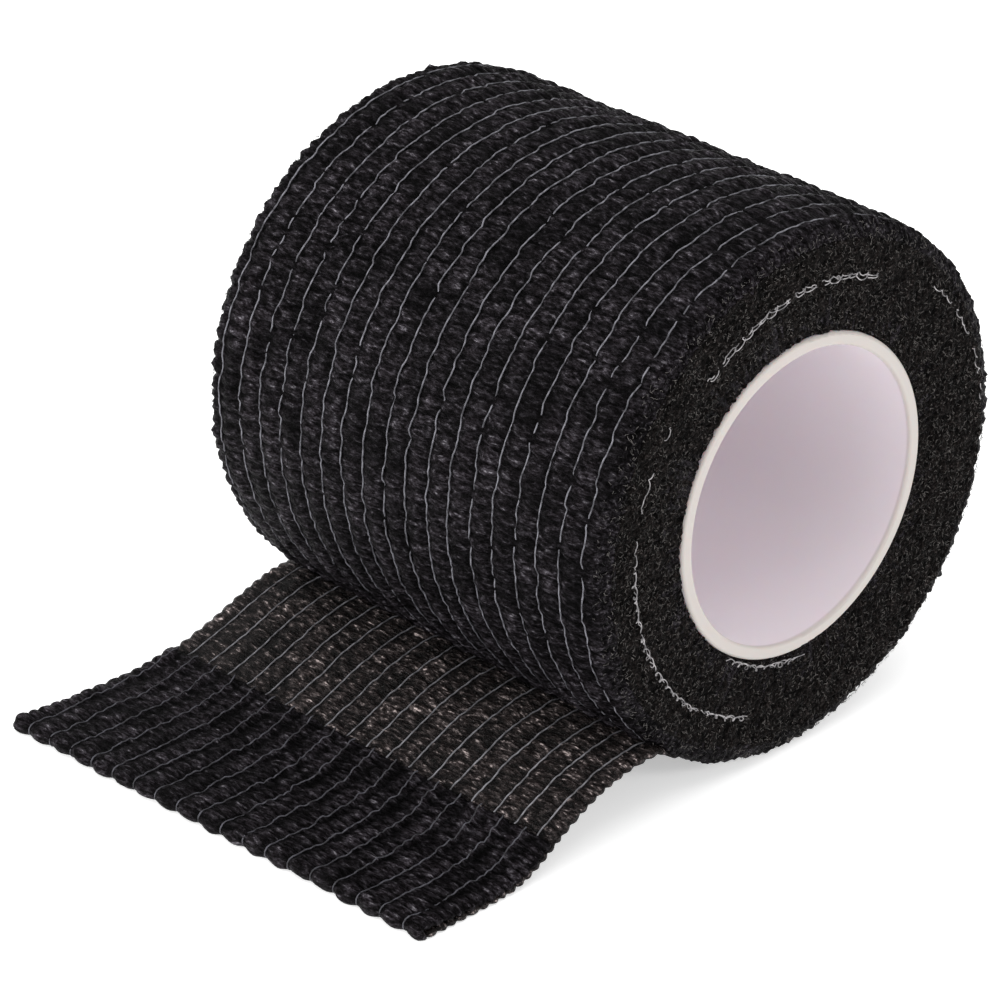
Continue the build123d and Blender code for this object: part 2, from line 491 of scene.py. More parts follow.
def roll_outline(reach):
    """Y, radius and the outward direction (y, radius) at a distance from the tape's middle."""
    side = 1 if reach > 0 else -1
    turn = min(max((abs(reach) - STRAIGHT) / SHOULDER, 0), pi / 2)
    inwards = max(abs(reach) - STRAIGHT - SHOULDER_LENGTH, 0)
    y = min(abs(reach), STRAIGHT) + SHOULDER * sin(turn) - FACE_TUCK * inwards / FACE_OVERLAP
    radius = ROLL_RADIUS - SHOULDER + SHOULDER * cos(turn) - inwards
    return side * y, radius, side * sin(turn), cos(turn)


def roll_surface(angle, reach):
    """A point of the roll's outside, with its crepe or felt, and its share of a crest."""
    y, radius, out_y, out_radius = roll_outline(reach)
    spoke = Vector((cos(angle), 0, sin(angle)))
    place = spoke * radius + Vector((0, y, 0))
    felted = smooth(FELT_FROM, FELT_TO, abs(reach))
    height, knot = crepe(RIDGES_ROUND * angle / tau, reach, place), tangle(place)
    crest = mix(crest_share(height), tangle_share(knot), felted)
    ridged = SHOULDER_RIDGES * (1 - smooth(RIDGES_FADE_FROM, RIDGES_FADE_TO, abs(reach)))
    ridge = height - SURFACE_SINK
    raised = mix(ridge, knot + ridged * ridge, felted)
    raised += SWELL * noise.noise(place / SWELL_SIZE)
    return place + (spoke * out_radius + Vector((0, out_y, 0))) * raised, crest


print(f"ridge pitch on the roll {tau * ROLL_RADIUS / RIDGES_ROUND / MM:.2f} mm")

# %% [markdown]
# ## From a flat grid to a closed shell
#
# The steps round the roll are a fifth of a millimetre, small enough to carry each ridge. Where the
# bent grid meets itself, its points are merged. Its two open edges are drawn in to the core and
# joined, because a closed shell has a clear inside and outside.

# %% Bend a grid into the roll's outside
STEPS_ROUND = 728
STEPS_ACROSS = 120
HALF_OUTLINE = STRAIGHT + SHOULDER_LENGTH + FACE_OVERLAP
SAME_PLACE = 0.001 * MM
CORE_GAP = 0.1 * MM


def close_ring(bm, move):
    """Draws a ring's two open edges on to new places, and joins them there."""
    rims = [edge for edge in bm.edges if edge.is_boundary]
    walls = bmesh.ops.extrude_edge_only(bm, edges=rims)["geom"]
    for vert in (item for item in walls if isinstance(item, bmesh.types.BMVert)):
        vert.co = move(vert.co)
    bmesh.ops.bridge_loops(bm, edges=[edge for edge in bm.edges if edge.is_boundary])


def to_core(place):
    """The place on the same spoke that lies just outside the core."""
    share = (CORE_RADIUS + CORE_GAP) / hypot(place.x, place.z)
    return Vector((place.x * share, place.y, place.z * share))


def make_ring(name, steps_round, steps_across, place, move):
    """A closed ring whose points and crests come from (share round, share across)."""
    bm = bmesh.new()
    bmesh.ops.create_grid(bm, x_segments=steps_round, y_segments=steps_across, size=0.5)
    crest = bm.verts.layers.float.new("crest")
    for vert in bm.verts:
        vert.co, vert[crest] = place(vert.co.x + 0.5, vert.co.y + 0.5)
    bmesh.ops.remove_doubles(bm, verts=bm.verts, dist=SAME_PLACE)
    close_ring(bm, move)
    return to_mesh(bm, name)


def roll_place(share_round, share_across):
    return roll_surface(tau * share_round, 2 * HALF_OUTLINE * (share_across - 0.5))


roll_mesh = make_ring("roll_crepe", STEPS_ROUND, STEPS_ACROSS, roll_place, to_core)
roll_crepe = add_piece("roll_crepe", roll_mesh, OUTER_CREPE)
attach(roll_crepe, "roll")
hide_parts("wound_tape")
print("roll outside:", len(roll_crepe.data.polygons), "faces")

# %% [markdown]
# ## The felted ends
#
# Each end of the roll is a flat ring of tangled edges between the core and the shoulder. It dips
# slightly towards the core, because the inner turns are wound tighter, and its edge beside the
# core is ragged. A ring of grid cells takes the same tangle as the shoulder, so the two meet
# without a step. Its open edges are drawn back into the roll and joined, as above.

# %% Make the end rings
RING_STEPS = 640
RING_ROWS = 72
END_DIP, DIP_SHARE = 0.30 * MM, 0.7
RING_DEPTH = 1.0 * MM
RING_OVERLAP = 0.35 * MM
RING_GAP = 0.06 * MM
RAGGED, RAGGED_SIZE = 0.10 * MM, 0.6 * MM


def end_dip(share):
    """How deep an end lies, from the core at share 0 to the shoulder at 1."""
    return END_DIP * (1 - smooth(0, DIP_SHARE, share))


def end_surface(angle, share, side):
    """A point of an end ring, from the core at share 0 to the shoulder at 1, and its crest."""
    spoke = Vector((cos(angle), 0, sin(angle)))
    ragged = RAGGED * noise.noise(spoke * CORE_RADIUS / RAGGED_SIZE)
    inner = CORE_RADIUS + RING_GAP + ragged
    radius = mix(inner, ROLL_RADIUS - SHOULDER + RING_OVERLAP, share)
    y = side * (HALF_WIDTH - end_dip(share))
    place = spoke * radius + Vector((0, y, 0))
    knot = tangle(place)
    return place + Vector((0, side * knot, 0)), tangle_share(knot)


NEAR, FAR = -1, 1
for name, side in (("near_end_felt", NEAR), ("far_end_felt", FAR)):
    end_mesh = make_ring(
        name,
        RING_STEPS,
        RING_ROWS,
        lambda share_round, share: end_surface(tau * share_round, share, side),
        lambda place: Vector((place.x, side * (HALF_WIDTH - RING_DEPTH), place.z)),
    )
    piece = add_piece(name, end_mesh, EDGE_FELT)
    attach(piece, "roll")
    print(f"{name}: {len(piece.data.polygons)} faces")

# %% [markdown]
# ## Strands from curves
#
# A curve with a bevel makes a thread in one step: its points are the thread's line, and its bevel
# depth is the thread's radius. The curve is then made a mesh. Many strands may share one curve,
# which keeps thousands of fibres in a single piece.


# %% Define the strand maker
def add_strands(name, lines, radius, material, closed=False, sides=1):
    """One piece made of round strands along some lines of points."""
    curve = bpy.data.curves.new(name, "CURVE")
    curve.dimensions = "3D"
    curve.bevel_depth = radius
    curve.bevel_resolution = sides
    curve.use_fill_caps = not closed
    for line in lines:
        spline = curve.splines.new("POLY")
        spline.points.add(len(line) - 1)
        spline.use_cyclic_u = closed
        for point, place in zip(spline.points, line):
            point.co = (*place, 1)
    holder = bpy.data.objects.new(name + "_line", curve)
    bpy.context.scene.collection.objects.link(holder)
    shaped = holder.evaluated_get(bpy.context.evaluated_depsgraph_get())
    mesh = bpy.data.meshes.new_from_object(shaped)
    bpy.data.objects.remove(holder)
    bpy.data.curves.remove(curve)
    return add_piece(name, mesh, material)


# %% [markdown]
# ## Threads on the roll
#
# A thread lies in the valley between two lanes. It is held wherever a ridge crosses it, so it runs
# nearly straight over each ridge and kinks before the next. Each kink moves it sideways by a random
# fraction of a millimetre, and the thread follows the surface up and down. Here and there the
# crepe covers it, so a noise sinks it for a short way.

# %% Lay the roll's threads
STRAND_RADIUS = 0.083 * MM
KINK = 0.19 * MM
STRAND_RISE = 0.09 * MM
STRAND_SINK, SINK_SIZE = 0.15 * MM, 0.9 * MM
SINK_FROM, SINK_TO = 0.30, 0.60
KINK_FROM = 0.45
POINTS_A_RIDGE = 4


def kinked(count, kinks):
    """How far a strand stands sideways after a number of ridges."""
    ridge = floor(count)
    first, second = kinks[ridge % len(kinks)], kinks[(ridge + 1) % len(kinks)]
    return mix(first, second, smooth(KINK_FROM, 1.0, count - ridge))


def roll_strand_line(place_across, kinks):
    """The closed line of one thread round the roll."""
    line = []
    for step in range(RIDGES_ROUND * POINTS_A_RIDGE):
        ridges = step / POINTS_A_RIDGE
        angle = tau * ridges / RIDGES_ROUND
        spoke = Vector((cos(angle), 0, sin(angle)))
        place = spoke * ROLL_RADIUS + Vector((0, place_across, 0))
        count = ridge_count(ridges, place_across, place)
        sunk = STRAND_SINK * smooth(SINK_FROM, SINK_TO, noise.noise(place / SINK_SIZE))
        surface = roll_surface(angle, place_across)[0]
        radius = hypot(surface.x, surface.z) + STRAND_RISE - sunk
        line.append(spoke * radius + Vector((0, place_across + kinked(count, kinks), 0)))
    return line


dice = Random(11)
for number, place_across in zip(THREAD_NUMBERS, THREAD_PLACES):
    kinks = [dice.uniform(-KINK, KINK) for ridge in range(RIDGES_ROUND)]
    name, line = f"roll_strand_{number:02d}", roll_strand_line(place_across, kinks)
    strand = add_strands(name, [line], STRAND_RADIUS, ROLL_THREAD, closed=True)
    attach(strand, "roll")
    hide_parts(f"roll_thread_{number:02d}")
print("threads on the roll:", THREAD_COUNT)

# %% [markdown]
# ## The route of the pulled-off tape
#
# Seen from the side, the tail lies flat from its fold, climbs a gentle slope, goes over a hump and
# meets the roll. The route is a start and a few moves, each a straight run or an arc, as a turtle
# would draw it. Close to the roll the tape bends over tightly and clings to the turn below, so a
# small hook follows the hump. The hook begins where its circle just touches the roll.

# %% Walk the route
FOLD_X = JOINTS["tab_fold"]["pos_m"][0]
TAIL_Z = FLOOR_Z + 0.31 * MM
ROUTE = [
    (9.0 * MM, 0),
    (18.0 * MM, radians(22)),
    (7.0 * MM, 0),
    (22.0 * MM, radians(-18)),
    (6.0 * MM, 0),
]


def walk(distance, moves):
    """X, Z and heading after a distance from the fold along some moves."""
    x, z, heading = FOLD_X, TAIL_Z, 0.0
    for size, turn in moves:
        length = size * abs(turn) if turn else size
        step = min(distance, length)
        distance -= step
        if turn:
            bend = turn * step / length
            radius = size if turn > 0 else -size
            x += radius * (sin(heading + bend) - sin(heading))
            z -= radius * (cos(heading + bend) - cos(heading))
            heading += bend
        else:
            x += step * cos(heading)
            z += step * sin(heading)
        if distance <= 0:
            break
    return x, z, heading


HOOK_RADIUS = 2.2 * MM
CLING_DEGREES = 3.0
SEARCH_STEP = 0.05 * MM


def hook_centre(distance):
    """The centre of a hook that would begin at a distance, on the lower side of the tape."""
    x, z, heading = walk(distance, ROUTE)
    return x + HOOK_RADIUS * sin(heading), z - HOOK_RADIUS * cos(heading)


hook_start = 20 * MM
while hypot(*hook_centre(hook_start)) > ROLL_RADIUS + HOOK_RADIUS:
    hook_start += SEARCH_STEP
hook_x, hook_z = hook_centre(hook_start)
contact_angle = atan2(hook_z, hook_x)
hook_turn = walk(hook_start, ROUTE)[2] - (contact_angle + pi / 2)
print(f"hook: from {hook_start / MM:.1f} mm, by {hook_turn * 180 / pi:.0f} degrees")

# %% [markdown]
# ## From the route to the real, slightly twisted tape
#
# The real tape isn't laid square. Its fold is a little askew, and its near edge rises higher on
# the way to the roll, which is a small turn about the roll's axis that grows towards it. A point
# of the tape is found in three steps: walk along the route, step off it along its normal, and then
# skew and turn the result. Nothing sinks below the surface that it rests on. The tab springs up a
# little beside its fold, settles within a few millimetres, and is pressed flatter at its sides.

# %% Place a point of the tail or the tab
FOLD_SKEW = 1.5 * MM
SKEW_FROM, SKEW_TO = 6.0 * MM, 22.0 * MM
TWIST = radians(3.0)
TWIST_FROM, TWIST_TO = 7.0 * MM, 25.0 * MM
FOLD_ROUND = 0.46 * MM
FOLD_ARC = FOLD_ROUND * pi
LAYER_GAP = 0.54 * MM
EDGE_PRESS, PRESS_WIDTH = 0.25, 1.5 * MM
PRESS_FROM, PRESS_TO = 1.5 * MM, 6.0 * MM
SETTLE_LENGTH = 3.0 * MM
REST_Z = FLOOR_Z + 0.02 * MM


def tape_side(distance):
    """X, Z and heading on the tail: the route up to the hook, the hook, and then the roll."""
    if distance <= hook_start:
        return walk(distance, ROUTE)
    bend = min((distance - hook_start) / HOOK_RADIUS, hook_turn)
    heading = walk(hook_start, ROUTE)[2] - bend
    x = hook_x - HOOK_RADIUS * sin(heading)
    z = hook_z + HOOK_RADIUS * cos(heading)
    wrapped = distance - hook_start - HOOK_RADIUS * hook_turn
    if wrapped > 0:
        angle = contact_angle + wrapped / ROLL_RADIUS
        x, z, heading = ROLL_RADIUS * cos(angle), ROLL_RADIUS * sin(angle), angle + pi / 2
    return x, z, heading


def settled(x, z, across, distance, lowest):
    """A point of the tape, skewed near its fold, turned near the roll and kept off the floor."""
    side = across / HALF_WIDTH
    x -= FOLD_SKEW * side * (1 - smooth(SKEW_FROM, SKEW_TO, distance))
    turn = -TWIST * side * smooth(TWIST_FROM, TWIST_TO, distance)
    turned_x = x * cos(turn) + z * sin(turn)
    turned_z = z * cos(turn) - x * sin(turn)
    return Vector((turned_x, across, max(turned_z, lowest)))


def tail_point(distance, across, lift):
    """A point of the tail, lifted off the tape's middle along its normal."""
    x, z, heading = tape_side(distance)
    place_x, place_z = x - lift * sin(heading), z + lift * cos(heading)
    return settled(place_x, place_z, across, distance, REST_Z + max(lift, 0))


def tab_point(distance, across, lift):
    """A point of the tab: round the fold, then back over the tail, one layer up."""
    if distance < FOLD_ARC:
        angle = distance / FOLD_ROUND
        reach = FOLD_ROUND + lift
        x = FOLD_X - reach * sin(angle)
        z = TAIL_Z + FOLD_ROUND - reach * cos(angle)
        return settled(x, z, across, 0, REST_Z)
    run = distance - FOLD_ARC
    gap = mix(LAYER_GAP, 2 * FOLD_ROUND, exp(-run / SETTLE_LENGTH))
    at_edge = smooth(HALF_WIDTH - PRESS_WIDTH, HALF_WIDTH, abs(across))
    gap *= 1 - EDGE_PRESS * at_edge * smooth(PRESS_FROM, PRESS_TO, run)
    return tail_point(run, across, gap + lift)


TAIL_LENGTH = hook_start + HOOK_RADIUS * hook_turn + ROLL_RADIUS * radians(CLING_DEGREES)
TAB_RUN = 16.4 * MM
TAB_LENGTH = FOLD_ARC + TAB_RUN
print(f"tail {TAIL_LENGTH / MM:.1f} mm and tab {TAB_LENGTH / MM:.1f} mm long")

# %% [markdown]
# ## The tail and the tab as thin shells
#
# A sheet of crepe has two faces a fraction of a millimetre apart. The shell starts as one flat
# grid, a copy of it is turned over for the lower face, and the two are bridged round their edges.
# Each point then finds its place from its share of the length and of the width. The faces stand
# apart by the crepe's own pattern: thin where a thread runs, thick in the pillows, and thinner
# again at the cut edges, which also wave in and out with the ridges. The lower face takes a second
# material, because one side of the tape is the latex side.

# %% Build a shell from a place function
TAIL_PITCH = 1.22 * MM
WEB_AT_THREAD = 0.07 * MM
PUFF_SHARE = 0.62
EDGE_ROUND, EDGE_HALF = 0.45 * MM, 0.55
EDGE_WAVE, WAVE_WIDTH, WAVE_MIDDLE = 0.22 * MM, 1.6 * MM, 0.6


def web_half(distance, across, noise_place):
    """Half the thickness of the crepe, before its edges are thinned."""
    ridges = distance / TAIL_PITCH
    return WEB_AT_THREAD + PUFF_SHARE * crepe(ridges, across, noise_place)


def edge_share(across):
    """About half at the tape's side edges and 1 away from them."""
    inside = min(HALF_WIDTH - abs(across), EDGE_ROUND) / EDGE_ROUND
    return EDGE_HALF + (1 - EDGE_HALF) * (1 - (1 - inside) ** 2) ** 0.5


def waved(across, distance, noise_place):
    """A place across the tape, moved with the waves of its side edges."""
    near_edge = smooth(HALF_WIDTH - WAVE_WIDTH, HALF_WIDTH, abs(across))
    crest = abs(sin(pi * ridge_count(distance / TAIL_PITCH, across, noise_place)))
    return across * (1 + EDGE_WAVE * near_edge * (crest - WAVE_MIDDLE) / HALF_WIDTH)


def sheet_place(length, seed, share_along, share_across):
    """Along, across, place in the noise, half thickness and crest of a flat sheet's point."""
    distance, across = length * share_along, TAPE_WIDTH * (share_across - 0.5)
    noise_place = Vector((distance, across, 0)) + seed
    half = web_half(distance, across, noise_place)
    crest = crest_share((half - WEB_AT_THREAD) / PUFF_SHARE)
    return distance, across, noise_place, half * edge_share(across), crest


def make_shell(name, steps_along, steps_across, place):
    """A thin closed shell whose points and crests come from (share along, share across, side).

    The faces of its lower side take the second material of the finished piece.
    """
    bm = bmesh.new()
    crest = bm.verts.layers.float.new("crest")
    bmesh.ops.create_grid(bm, x_segments=steps_along, y_segments=steps_across, size=0.5)
    whole = bm.verts[:] + bm.edges[:] + bm.faces[:]
    copied = bmesh.ops.duplicate(bm, geom=whole)["geom"]
    lower = {item for item in copied if isinstance(item, bmesh.types.BMVert)}
    turned = [item for item in copied if isinstance(item, bmesh.types.BMFace)]
    bmesh.ops.reverse_faces(bm, faces=turned)
    for face in turned:
        face.material_index = 1
    for vert in bm.verts:
        side = -1 if vert in lower else 1
        vert.co, vert[crest] = place(vert.co.x + 0.5, vert.co.y + 0.5, side)
    bmesh.ops.bridge_loops(bm, edges=[edge for edge in bm.edges if edge.is_boundary])
    return to_mesh(bm, name)


print(f"thinnest web {2 * WEB_AT_THREAD / MM:.2f} mm")

# %% [markdown]
# ## The tail
#
# The tail has its latex side up. It thins out where it clings to the roll, so that no step shows.
# The frame's root and tail are one piece of cloth here, because the real strip isn't cut where it
# bends.

# %% Make the tail
TAIL_STEPS = 176
TAPE_ROWS = 132
TAIL_SEED = Vector((0.11, 0.0, 0.0))
ROOT_THINNING, THINNED_BY = 2.0 * MM, 0.8


def tail_surface(share_along, share_across, side):
    flat_place = sheet_place(TAIL_LENGTH, TAIL_SEED, share_along, share_across)
    distance, across, noise_place, half, crest = flat_place
    half *= 1 - THINNED_BY * smooth(TAIL_LENGTH - ROOT_THINNING, TAIL_LENGTH, distance)
    return tail_point(distance, waved(across, distance, noise_place), side * half), crest


tail_mesh = make_shell("tail_sheet", TAIL_STEPS, TAPE_ROWS, tail_surface)
tail_sheet = add_piece("tail_sheet", tail_mesh, LATEX_CREPE, OUTER_CREPE)
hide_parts("tail_root", "tail_web")
print("tail:", len(tail_sheet.data.polygons), "faces")

# %% [markdown]
# ## The tab
#
# The tab begins in the fold and lies back over the tail with the tape's other side up. Its pillows
# swell on the fold, each by a different amount. Its free end was cut across, so it is thin and a
# little frayed there.

# %% Make the tab
TAB_STEPS = 104
TAB_SEED = Vector((0.37, 0.0, 0.0))
CUT_THINNING, CUT_BY = 0.5 * MM, 0.5
CUT_FRAY, CUT_FRAY_SIZE, FRAYED_FROM = 0.25 * MM, 0.5 * MM, 0.9
FOLD_PUFF, FOLD_PUFF_REACH = 0.13 * MM, 1.3 * MM
PUFF_SWING, PUFF_SWING_SIZE = 0.9, 1.6 * MM


def tab_surface(share_along, share_across, side):
    flat_place = sheet_place(TAB_LENGTH, TAB_SEED, share_along, share_across)
    distance, across, noise_place, half, crest = flat_place
    half *= 1 - CUT_BY * smooth(TAB_LENGTH - CUT_THINNING, TAB_LENGTH, distance)
    on_fold = exp(-(((distance - FOLD_ARC / 2) / FOLD_PUFF_REACH) ** 2))
    lift = side * half
    if side > 0:
        uneven = 1 + PUFF_SWING * noise.noise(noise_place / PUFF_SWING_SIZE)
        lift += FOLD_PUFF * on_fold * pillow(across) * uneven
    fray = CUT_FRAY * noise.noise(noise_place / CUT_FRAY_SIZE)
    frayed = fray * smooth(FRAYED_FROM, 1, share_along)
    return tab_point(distance + frayed, waved(across, distance, noise_place), lift), crest


tab_mesh = make_shell("tab_sheet", TAB_STEPS, TAPE_ROWS, tab_surface)
tab_sheet = add_piece("tab_sheet", tab_mesh, OUTER_CREPE, LATEX_CREPE)
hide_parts("tab_web")
print("tab:", len(tab_sheet.data.polygons), "faces")

# %% [markdown]
# ## Threads of the tail and the tab
#
# The same strands go on along the tail and round the fold. On the tail they lie on the upper face,
# and on the tab they lie half sunk in its outer face. The tab was folded a little askew, so its
# threads wander towards the far edge as they come back over the tail, and end half a lane beside
# the threads below. On the fold a strand stands slightly proud, where it cuts between the pillows.

# %% Lay the tail's and the tab's threads
TAB_DRIFT = 1.2 * MM
STRAND_STEP = 0.30 * MM
TAIL_KINK = 0.10 * MM
TAIL_KINKS, TAB_KINKS = 40, 20
TAIL_STRAND_RISE, TAB_STRAND_SINK = 0.05 * MM, 0.03 * MM
FOLD_STRAND_LIFT, FOLD_STRAND_REACH = 0.16 * MM, 1.5 * MM
PAST_CUT = 0.2 * MM


def strand_stops(length):
    """Even distances along a length."""
    count = ceil(length / STRAND_STEP)
    return [length * step / count for step in range(count + 1)]


def tail_strand_line(place_across, kinks):
    """A thread along the tail, from the fold to just inside the roll's surface."""
    line = []
    for distance in strand_stops(TAIL_LENGTH):
        ridges = distance / TAIL_PITCH
        across = place_across + kinked(ridges, kinks)
        noise_place = Vector((distance, place_across, 0)) + TAIL_SEED
        lift = web_half(distance, place_across, noise_place) + TAIL_STRAND_RISE
        line.append(tail_point(distance, across, lift))
    return line


def tab_strand_line(place_across, kinks):
    """A thread round the fold and along the tab, to just past the cut."""
    line = []
    for distance in strand_stops(TAB_LENGTH + PAST_CUT):
        ridges = distance / TAIL_PITCH
        on_fold = 1 - smooth(FOLD_ARC, FOLD_ARC + FOLD_STRAND_REACH, distance)
        wander = TAB_DRIFT * max(distance - FOLD_ARC, 0) / TAB_LENGTH
        across = place_across + wander + kinked(ridges, kinks) * (1 - on_fold)
        noise_place = Vector((distance, across, 0)) + TAB_SEED
        web = web_half(distance, across, noise_place)
        lift = mix(web - TAB_STRAND_SINK, FOLD_STRAND_LIFT, on_fold)
        line.append(tab_point(distance, across, lift))
    return line


dice = Random(23)
tail_strands, tab_strands = [], []
for number, place_across in zip(THREAD_NUMBERS, THREAD_PLACES):
    kinks = [dice.uniform(-TAIL_KINK, TAIL_KINK) for ridge in range(TAIL_KINKS)]
    line = tail_strand_line(place_across, kinks)
    strand = add_strands(f"tail_strand_{number:02d}", [line], STRAND_RADIUS, TAIL_THREAD)
    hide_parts(f"tail_thread_{number:02d}", "tail_root_threads")
    tail_strands.append(strand)
    kinks = [dice.uniform(-KINK, KINK) for ridge in range(TAB_KINKS)]
    line = tab_strand_line(place_across, kinks)
    strand = add_strands(f"tab_strand_{number:02d}", [line], STRAND_RADIUS, TAB_THREAD)
    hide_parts(f"tab_thread_{number:02d}")
    tab_strands.append(strand)
print("threads on the tail and the tab:", len(tail_strands) + len(tab_strands))

# %% [markdown]
# ## The sheets and their strands in place
#
# The tail is one piece of cloth that crosses the hinge near its hump, and the tab runs round its
# fold from the lower layer to the upper one. Each sheet and each of its strands takes its place
# in the world into its mesh; none of them is attached to a body.

# %% Bake the sheets and their strands in place
for piece in [tail_sheet, *tail_strands]:
    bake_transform(piece)

for piece in [tab_sheet, *tab_strands]:
    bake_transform(piece)
print("blended pieces:", 2 + len(tail_strands) + len(tab_strands))

# %% [markdown]
# ## Stray fibres
#
# Thousands of short hairs stand out of the ends. One hair is only three short lengths, so even
# thousands of them stay light. Each starts at a random place and wanders, but is held within a
# fraction of a millimetre of the face. Dark and pale hairs are separate pieces, because each has
# its own material; the pale hairs are the same dark hairs with a painted glint as their colour.

# %% Scatter the fibres over the ends
FIBRE_RADIUS = 0.020 * MM
FIBRE_STEP, FIBRE_STEPS = 0.15 * MM, 3
FIBRE_RISE, FIBRE_SINK = 0.14 * MM, 0.05 * MM
FIBRE_WANDER = 0.7
FIBRE_MARGIN_IN, FIBRE_MARGIN_OUT = 0.2 * MM, 0.3 * MM
FIBRE_COUNTS = (("dark", 2600, DARK_FIBRE), ("pale", 4600, GLINT_PAINTED_FIBRE))


def any_way(dice):
    """A random arrow, as likely to point one way as another."""
    return Vector((dice.gauss(0, 1), dice.gauss(0, 1), dice.gauss(0, 1)))


def fibre_line(start, out, dice):
    """A short hair that wanders from a start, and stays close to the face it grows from."""
    line = [start]
    heading = any_way(dice).normalized()
    for step in range(FIBRE_STEPS):
        heading = (heading + FIBRE_WANDER * any_way(dice)).normalized()
        place = line[-1] + heading * FIBRE_STEP * dice.uniform(0.6, 1.2)
        rise = (place - start).dot(out)
        line.append(place + out * (min(max(rise, -FIBRE_SINK), FIBRE_RISE) - rise))
    return line


def end_fibres(side, count, dice):
    """Hairs all over one end, and a few on its shoulder."""
    lines = []
    first, last = CORE_RADIUS + FIBRE_MARGIN_IN, ROLL_RADIUS - FIBRE_MARGIN_OUT
    for number in range(count):
        angle = dice.uniform(0, tau)
        radius = dice.uniform(first**2, last**2) ** 0.5
        over = max(radius - (ROLL_RADIUS - SHOULDER), 0)
        spoke = Vector((cos(angle), 0, sin(angle)))
        lean = asin(min(over / SHOULDER, 1))
        out = spoke * sin(lean) + Vector((0, side * cos(lean), 0))
        share = min((radius - CORE_RADIUS) / (ROLL_RADIUS - SHOULDER - CORE_RADIUS), 1)
        y = HALF_WIDTH - end_dip(share) - SHOULDER * (1 - cos(lean))
        start = spoke * radius + Vector((0, side * y, 0)) + out * FIBRE_SINK
        lines.append(fibre_line(start, out, dice))
    return lines


dice = Random(37)
for end_name, side in (("near", NEAR), ("far", FAR)):
    for shade, count, material in FIBRE_COUNTS:
        name, lines = f"{end_name}_{shade}_fibres", end_fibres(side, count, dice)
        fibres = add_strands(name, lines, FIBRE_RADIUS, material, sides=0)
        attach(fibres, "roll")
        print(fibres.name, len(fibres.data.polygons), "faces")

# %% [markdown]
# ## Frayed threads on the near end
#
# Where the roll was slit from a wider one, a blade ran along a thread here and there and left it
# frayed on the end of the roll. Such a thread shows as a broken, loopy arc of pale yarn. Each arc
# is a row of a table: the radius in millimetres and the angle in degrees at which it begins and
# ends, how much of it shows, and how far its loops reach. A random wobble and a noise that leaves
# gaps make it look torn.

# %% Lay the frayed threads
FRAY_STEP = 0.09 * MM
FRAY_RADIUS = 0.045 * MM
LOOP_LENGTH = 1.15 * MM
LOOP_REACH = 0.23 * MM
REACH_CHANGE, SLIP_CHANGE = 0.12, 0.05
SLIP_SIZE = 0.35 * MM
SHORTEST_FRAY = 5
FRAY_OUT, FRAY_WAVE = 0.12 * MM, 0.10 * MM
NEAR_ARCS = (
    (20.0, 19.6, 66, 128, 0.50, 1.2),
    (20.3, 19.8, 66, 130, 0.30, 0.6),
    (21.0, 21.2, 140, 170, -0.10, 0.6),
    (20.9, 20.2, 170, 251, 0.60, 0.5),
    (20.9, 20.3, 178, 251, 0.40, 1.3),
    (23.2, 21.8, 3, 43, 0.40, 0.8),
    (15.4, 15.6, -128, -88, 0.60, 0.6),
    (15.5, 15.7, -124, -92, 0.40, 1.2),
)


def frayed_arc(first_radius, last_radius, first, last, keep, loops, dice):
    """Loopy lengths of yarn along an arc, with gaps where it is torn or buried."""
    lines, line = [], []
    count = int(abs(last - first) * first_radius / FRAY_STEP)
    turn, reach, radius_slip = 0.0, LOOP_REACH, 0.0
    for step in range(count):
        share = step / count
        turn += tau * FRAY_STEP / LOOP_LENGTH * dice.uniform(0.4, 1.6)
        reach = mix(reach, LOOP_REACH * dice.uniform(0.0, 2.4) * loops, REACH_CHANGE)
        radius_slip = mix(radius_slip, dice.gauss(0, SLIP_SIZE), SLIP_CHANGE)
        radius = mix(first_radius, last_radius, share) + radius_slip + 0.6 * reach * sin(turn)
        angle = mix(first, last, share) + reach * cos(turn) / first_radius
        spoke = Vector((cos(angle), 0, sin(angle)))
        out = FRAY_OUT + FRAY_WAVE * sin(0.7 * turn)
        shown = noise.noise(spoke * 9.0 + Vector((first_radius * 900, 0, 0))) < keep
        if shown:
            line.append(spoke * radius + Vector((0, -HALF_WIDTH - out, 0)))
        if not shown or step == count - 1:
            if len(line) >= SHORTEST_FRAY:
                lines.append(line)
            line = []
    return lines


dice = Random(41)
frayed_lines = []
for first_radius, last_radius, first, last, keep, loops in NEAR_ARCS:
    radii, angles = (first_radius * MM, last_radius * MM), (radians(first), radians(last))
    frayed_lines += frayed_arc(*radii, *angles, keep, loops, dice)
frayed = add_strands("near_frayed_threads", frayed_lines, FRAY_RADIUS, FRAYED_THREAD)
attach(frayed, "roll")
print("frayed lengths:", len(frayed_lines))

# %% [markdown]
# ## The floor
#
# The roll lies on a large matt white table. The floor is one square face, and it glows a little by
# itself, so that it stays white beside the roll and the shadow there stays soft.

# %% Make the floor
FLOOR_GLOW = 0.45
WHITE = (1.0, 1.0, 1.0, 1)
floor_bm = bmesh.new()
bmesh.ops.create_grid(floor_bm, x_segments=1, y_segments=1, size=1.5)
bmesh.ops.translate(floor_bm, verts=floor_bm.verts, vec=(0, 0, FLOOR_Z))
floor_material, tree, shader = new_tree("pale_floor")
set_inputs(tree, shader, Base_Color=(0.92, 0.92, 0.92, 1), Roughness=0.9, Specular_IOR_Level=0.0)
set_inputs(tree, shader, Emission_Color=WHITE, Emission_Strength=FLOOR_GLOW)
floor_piece = add_piece("floor", to_mesh(floor_bm, "floor"), floor_material)
print("floor at", round(FLOOR_Z / MM, 2), "mm")

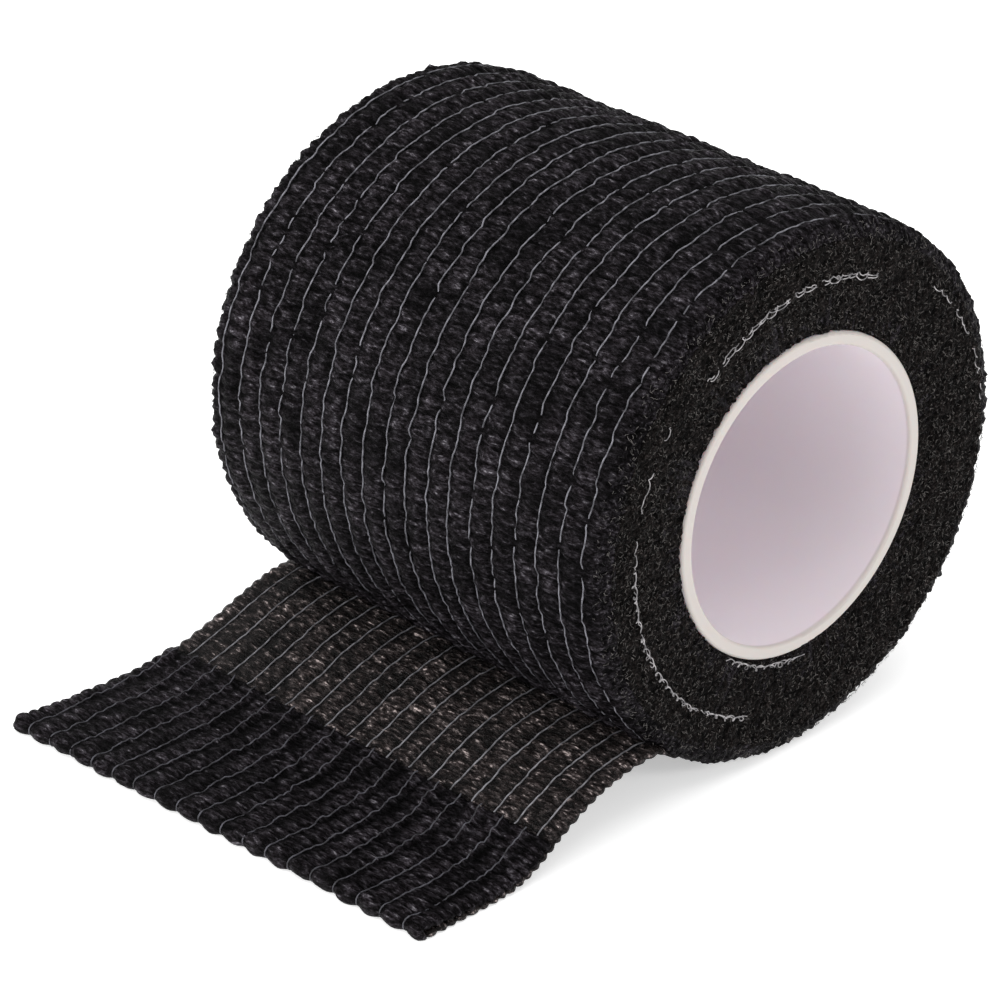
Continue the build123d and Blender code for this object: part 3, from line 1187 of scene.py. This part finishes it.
# %% [markdown]
# ## The lights
#
# Black crepe shows only by what it reflects, so the lights matter more than the colour. One large
# soft light hangs overhead, and a small one on each side draws the crests. The surround looks pure
# white but lights the set less than that, because a strong even light would turn black into grey.
# The light path node tells the two uses apart.

# %% Light the set
SURROUND_LIGHT = 0.60
SURROUND_SEEN = 1.0
ROLL_MIDDLE = (0, 0, 0)
scene = bpy.context.scene
scene.view_settings.view_transform = "Standard"
world = bpy.data.worlds.new("studio")
world.use_nodes = True
scene.world = world
tree = world.node_tree
seen = add_node(tree, "ShaderNodeLightPath").outputs["Is Camera Ray"]
strength = graded(tree, seen, 0, 1, SURROUND_LIGHT, SURROUND_SEEN)
set_inputs(tree, tree.nodes["Background"], Color=WHITE, Strength=strength)


def add_softbox(name, place, aim, size, power):
    """A square area light that looks from a place towards an aim."""
    lamp = bpy.data.lights.new(name, "AREA")
    lamp.energy = power
    lamp.size = size
    holder = bpy.data.objects.new(name, lamp)
    scene.collection.objects.link(holder)
    holder.location = place
    holder.rotation_euler = (Vector(aim) - Vector(place)).to_track_quat("-Z", "Y").to_euler()
    print(f"{name}: {power} W over {size} m")


add_softbox("top_softbox", (0.0, 0.0, 0.90), ROLL_MIDDLE, 1.0, 4.2)
add_softbox("left_softbox", (-0.50, 0.10, 0.22), ROLL_MIDDLE, 0.14, 2.0)
add_softbox("right_softbox", (0.10, -0.50, 0.25), ROLL_MIDDLE, 0.14, 0.9)

# %% [markdown]
# ## The camera
#
# The camera is placed by its direction, distance and focal length, and slid sideways and down to
# frame the roll with its tail. Its three axes are the columns of its matrix, which is clearer than
# three angles.

# %% Place the camera
CAMERA_AZIMUTH = radians(-43.95)
CAMERA_ELEVATION = radians(27.69)
CAMERA_ROLL = radians(0.143)
CAMERA_DISTANCE = 388.1 * MM
CAMERA_LENS = 156
SLIDE_RIGHT, SLIDE_UP = -8.77 * MM, -8.61 * MM


def place_camera():
    """A camera whose axes are worked out from where it looks."""
    level = Vector((cos(CAMERA_AZIMUTH), sin(CAMERA_AZIMUTH), 0))
    back = Vector((sin(CAMERA_AZIMUTH), -cos(CAMERA_AZIMUTH), 0)) * cos(CAMERA_ELEVATION)
    back.z = sin(CAMERA_ELEVATION)
    upright = back.cross(level)
    right = level * cos(CAMERA_ROLL) + upright * sin(CAMERA_ROLL)
    up = upright * cos(CAMERA_ROLL) - level * sin(CAMERA_ROLL)
    lens = bpy.data.cameras.new("camera")
    lens.lens = CAMERA_LENS
    lens.sensor_width = 36
    lens.clip_start = 0.01
    camera = bpy.data.objects.new("camera", lens)
    scene.collection.objects.link(camera)
    turn = Matrix((right, up, back)).transposed().to_4x4()
    place = right * SLIDE_RIGHT + up * SLIDE_UP + back * CAMERA_DISTANCE
    camera.matrix_world = Matrix.Translation(place) @ turn
    return camera


scene.camera = place_camera()
print("camera at", [round(value, 3) for value in scene.camera.location])
